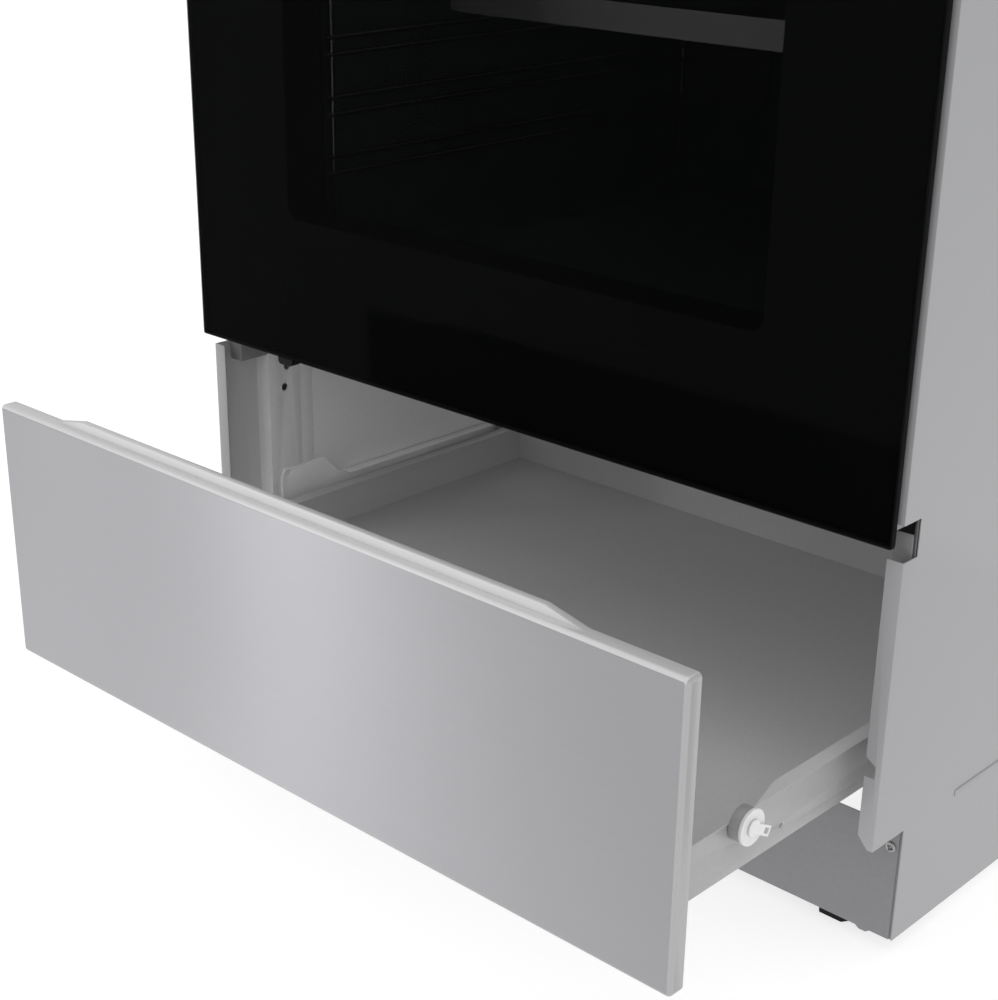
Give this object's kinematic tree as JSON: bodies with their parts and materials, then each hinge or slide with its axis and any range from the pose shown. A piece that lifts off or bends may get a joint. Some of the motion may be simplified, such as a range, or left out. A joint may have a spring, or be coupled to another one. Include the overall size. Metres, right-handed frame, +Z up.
{
  "type": "freestanding gas range",
  "caption": "Freestanding gas range: glazed oven door, push-and-turn knobs, burners under cast pan supports and a drawer on rollers, shown part open.",
  "frame": {"origin": "middle of the floor area that the range and its part-open drawer cover, at floor level", "axes": "+X to the range's right as seen from the front, +Y to its back, +Z up"},
  "size_m": [0.6, 0.8004, 0.874],
  "materials": {
    "side_paint": "smooth light grey enamel",
    "stainless": "brushed stainless steel",
    "grey_steel": "satin grey coated sheet steel",
    "zinc_steel": "zinc plated steel",
    "clear_glass": "toughened glass",
    "black_print": "fired black print behind glass",
    "black_steel": "satin black enamelled steel",
    "oven_enamel": "dark grey glossy enamel",
    "cast_iron": "matt black cast iron",
    "black_enamel": "matt black enamel",
    "burner_alloy": "cast aluminium",
    "brass": "machined brass",
    "steel_pipe": "plain steel",
    "white_nylon": "white nylon",
    "black_rubber": "black rubber",
    "chrome_wire": "chromed wire",
    "knob_finish": "metallised knob",
    "black_plastic": "black moulding",
    "white_ceramic": "white ceramic",
    "glass_wool": "glass wool blanket"
  },
  "bodies": {
    "cabinet": {"back_panel": "grey_steel", "baking_tray": "oven_enamel", "bay_liners": "grey_steel", "bay_roof": "grey_steel", "burner_caps": "black_enamel", "burner_cups": "burner_alloy", "burner_heads": "burner_alloy", "control_panel": "stainless", "corner_bracket": "grey_steel", "door_seal": "black_rubber", "front_posts": "grey_steel", "gas_inlet": "steel_pipe", "gas_manifold": "steel_pipe", "gas_taps": "brass", "hinge_arms": "zinc_steel", "insulation": "glass_wool", "levelling_feet": "black_rubber", "mains_gland": "black_plastic", "oven_burner": "steel_pipe", "oven_cavity": "oven_enamel", "oven_floor": "oven_enamel", "oven_front_plate": "black_steel", "oven_lamp": "clear_glass", "plinth": "grey_steel", "runner_left": "zinc_steel", "runner_right": "zinc_steel", "shelf_rack_left": "chrome_wire", "shelf_rack_right": "chrome_wire", "side_panel_left": "side_paint", "side_panel_right": "side_paint", "spark_plugs": "white_ceramic", "wire_shelf": "chrome_wire", "worktop": "stainless"},
    "door": {"door_glass": "clear_glass", "door_print": "black_print", "door_frame": "black_steel", "door_inner_glass": "clear_glass", "door_handle": "stainless", "hinge_pins": "zinc_steel", "door_bottom_stop": "black_rubber"},
    "drawer": {"drawer_front": "stainless", "drawer_tray": "grey_steel", "roller_pins": "white_nylon"},
    "pan_support_left": {"pan_support_left": "cast_iron"},
    "pan_support_right": {"pan_support_right": "cast_iron"},
    "ignition_button": {"ignition_button": "knob_finish"},
    "roller_front_left": {"roller_front_left": "white_nylon"},
    "roller_front_right": {"roller_front_right": "white_nylon"},
    "roller_rear_left": {"roller_rear_left": "white_nylon"},
    "roller_rear_right": {"roller_rear_right": "white_nylon"},
    "spindle_front_left": {"spindle_front_left": "steel_pipe"},
    "knob_front_left": {"knob_front_left": "knob_finish"},
    "spindle_rear_left": {"spindle_rear_left": "steel_pipe"},
    "knob_rear_left": {"knob_rear_left": "knob_finish"},
    "spindle_oven": {"spindle_oven": "steel_pipe"},
    "knob_oven": {"knob_oven": "knob_finish"},
    "spindle_rear_right": {"spindle_rear_right": "steel_pipe"},
    "knob_rear_right": {"knob_rear_right": "knob_finish"},
    "spindle_front_right": {"spindle_front_right": "steel_pipe"},
    "knob_front_right": {"knob_front_right": "knob_finish"}
  },
  "joints": [
    {"name": "drawer_slide", "type": "slide", "parent": "cabinet", "child": "drawer", "axis": [0, -1, 0], "range_m": [-0.178, 0.18]},
    {"name": "oven_door", "type": "hinge", "parent": "cabinet", "child": "door", "pos_m": [0, -0.2143, 0.2896], "axis": [1, 0, 0], "range_deg": [0, 90], "stiffness_Nm_per_rad": 3, "springref_deg": -28.65},
    {"name": "push_front_left", "type": "slide", "parent": "cabinet", "child": "spindle_front_left", "axis": [0, 1, 0], "range_m": [0, 0.0035], "stiffness_N_per_m": 600},
    {"name": "turn_front_left", "type": "hinge", "parent": "spindle_front_left", "child": "knob_front_left", "pos_m": [-0.21, -0.2218, 0.777], "axis": [0, 1, 0], "range_deg": [-200, 0]},
    {"name": "push_rear_left", "type": "slide", "parent": "cabinet", "child": "spindle_rear_left", "axis": [0, 1, 0], "range_m": [0, 0.0035], "stiffness_N_per_m": 600},
    {"name": "turn_rear_left", "type": "hinge", "parent": "spindle_rear_left", "child": "knob_rear_left", "pos_m": [-0.126, -0.2218, 0.777], "axis": [0, 1, 0], "range_deg": [-200, 0]},
    {"name": "push_oven", "type": "slide", "parent": "cabinet", "child": "spindle_oven", "axis": [0, 1, 0], "range_m": [0, 0.0035], "stiffness_N_per_m": 600},
    {"name": "turn_oven", "type": "hinge", "parent": "spindle_oven", "child": "knob_oven", "pos_m": [-0.042, -0.2218, 0.777], "axis": [0, 1, 0], "range_deg": [-150, 0]},
    {"name": "push_rear_right", "type": "slide", "parent": "cabinet", "child": "spindle_rear_right", "axis": [0, 1, 0], "range_m": [0, 0.0035], "stiffness_N_per_m": 600},
    {"name": "turn_rear_right", "type": "hinge", "parent": "spindle_rear_right", "child": "knob_rear_right", "pos_m": [0.042, -0.2218, 0.777], "axis": [0, 1, 0], "range_deg": [-200, 0]},
    {"name": "push_front_right", "type": "slide", "parent": "cabinet", "child": "spindle_front_right", "axis": [0, 1, 0], "range_m": [0, 0.0035], "stiffness_N_per_m": 600},
    {"name": "turn_front_right", "type": "hinge", "parent": "spindle_front_right", "child": "knob_front_right", "pos_m": [0.126, -0.2218, 0.777], "axis": [0, 1, 0], "range_deg": [-200, 0]},
    {"name": "press_igniter", "type": "slide", "parent": "cabinet", "child": "ignition_button", "axis": [0, 1, 0], "range_m": [0, 0.004], "stiffness_N_per_m": 500},
    {"name": "spin_roller_front_left", "type": "hinge", "parent": "drawer", "child": "roller_front_left", "pos_m": [-0.2767, -0.3098, 0.143], "axis": [1, 0, 0], "continuous": true},
    {"name": "spin_roller_front_right", "type": "hinge", "parent": "drawer", "child": "roller_front_right", "pos_m": [0.2767, -0.3098, 0.143], "axis": [1, 0, 0], "continuous": true},
    {"name": "spin_roller_rear_left", "type": "hinge", "parent": "drawer", "child": "roller_rear_left", "pos_m": [-0.2767, 0.0858, 0.1398], "axis": [1, 0, 0], "continuous": true},
    {"name": "spin_roller_rear_right", "type": "hinge", "parent": "drawer", "child": "roller_rear_right", "pos_m": [0.2767, 0.0858, 0.1398], "axis": [1, 0, 0], "continuous": true},
    {"name": "lift_pan_support_left", "type": "slide", "parent": "cabinet", "child": "pan_support_left", "axis": [0, 0, 1], "range_m": [0, 0.06]},
    {"name": "lift_pan_support_right", "type": "slide", "parent": "cabinet", "child": "pan_support_right", "axis": [0, 0, 1], "range_m": [0, 0.06]}
  ]
}
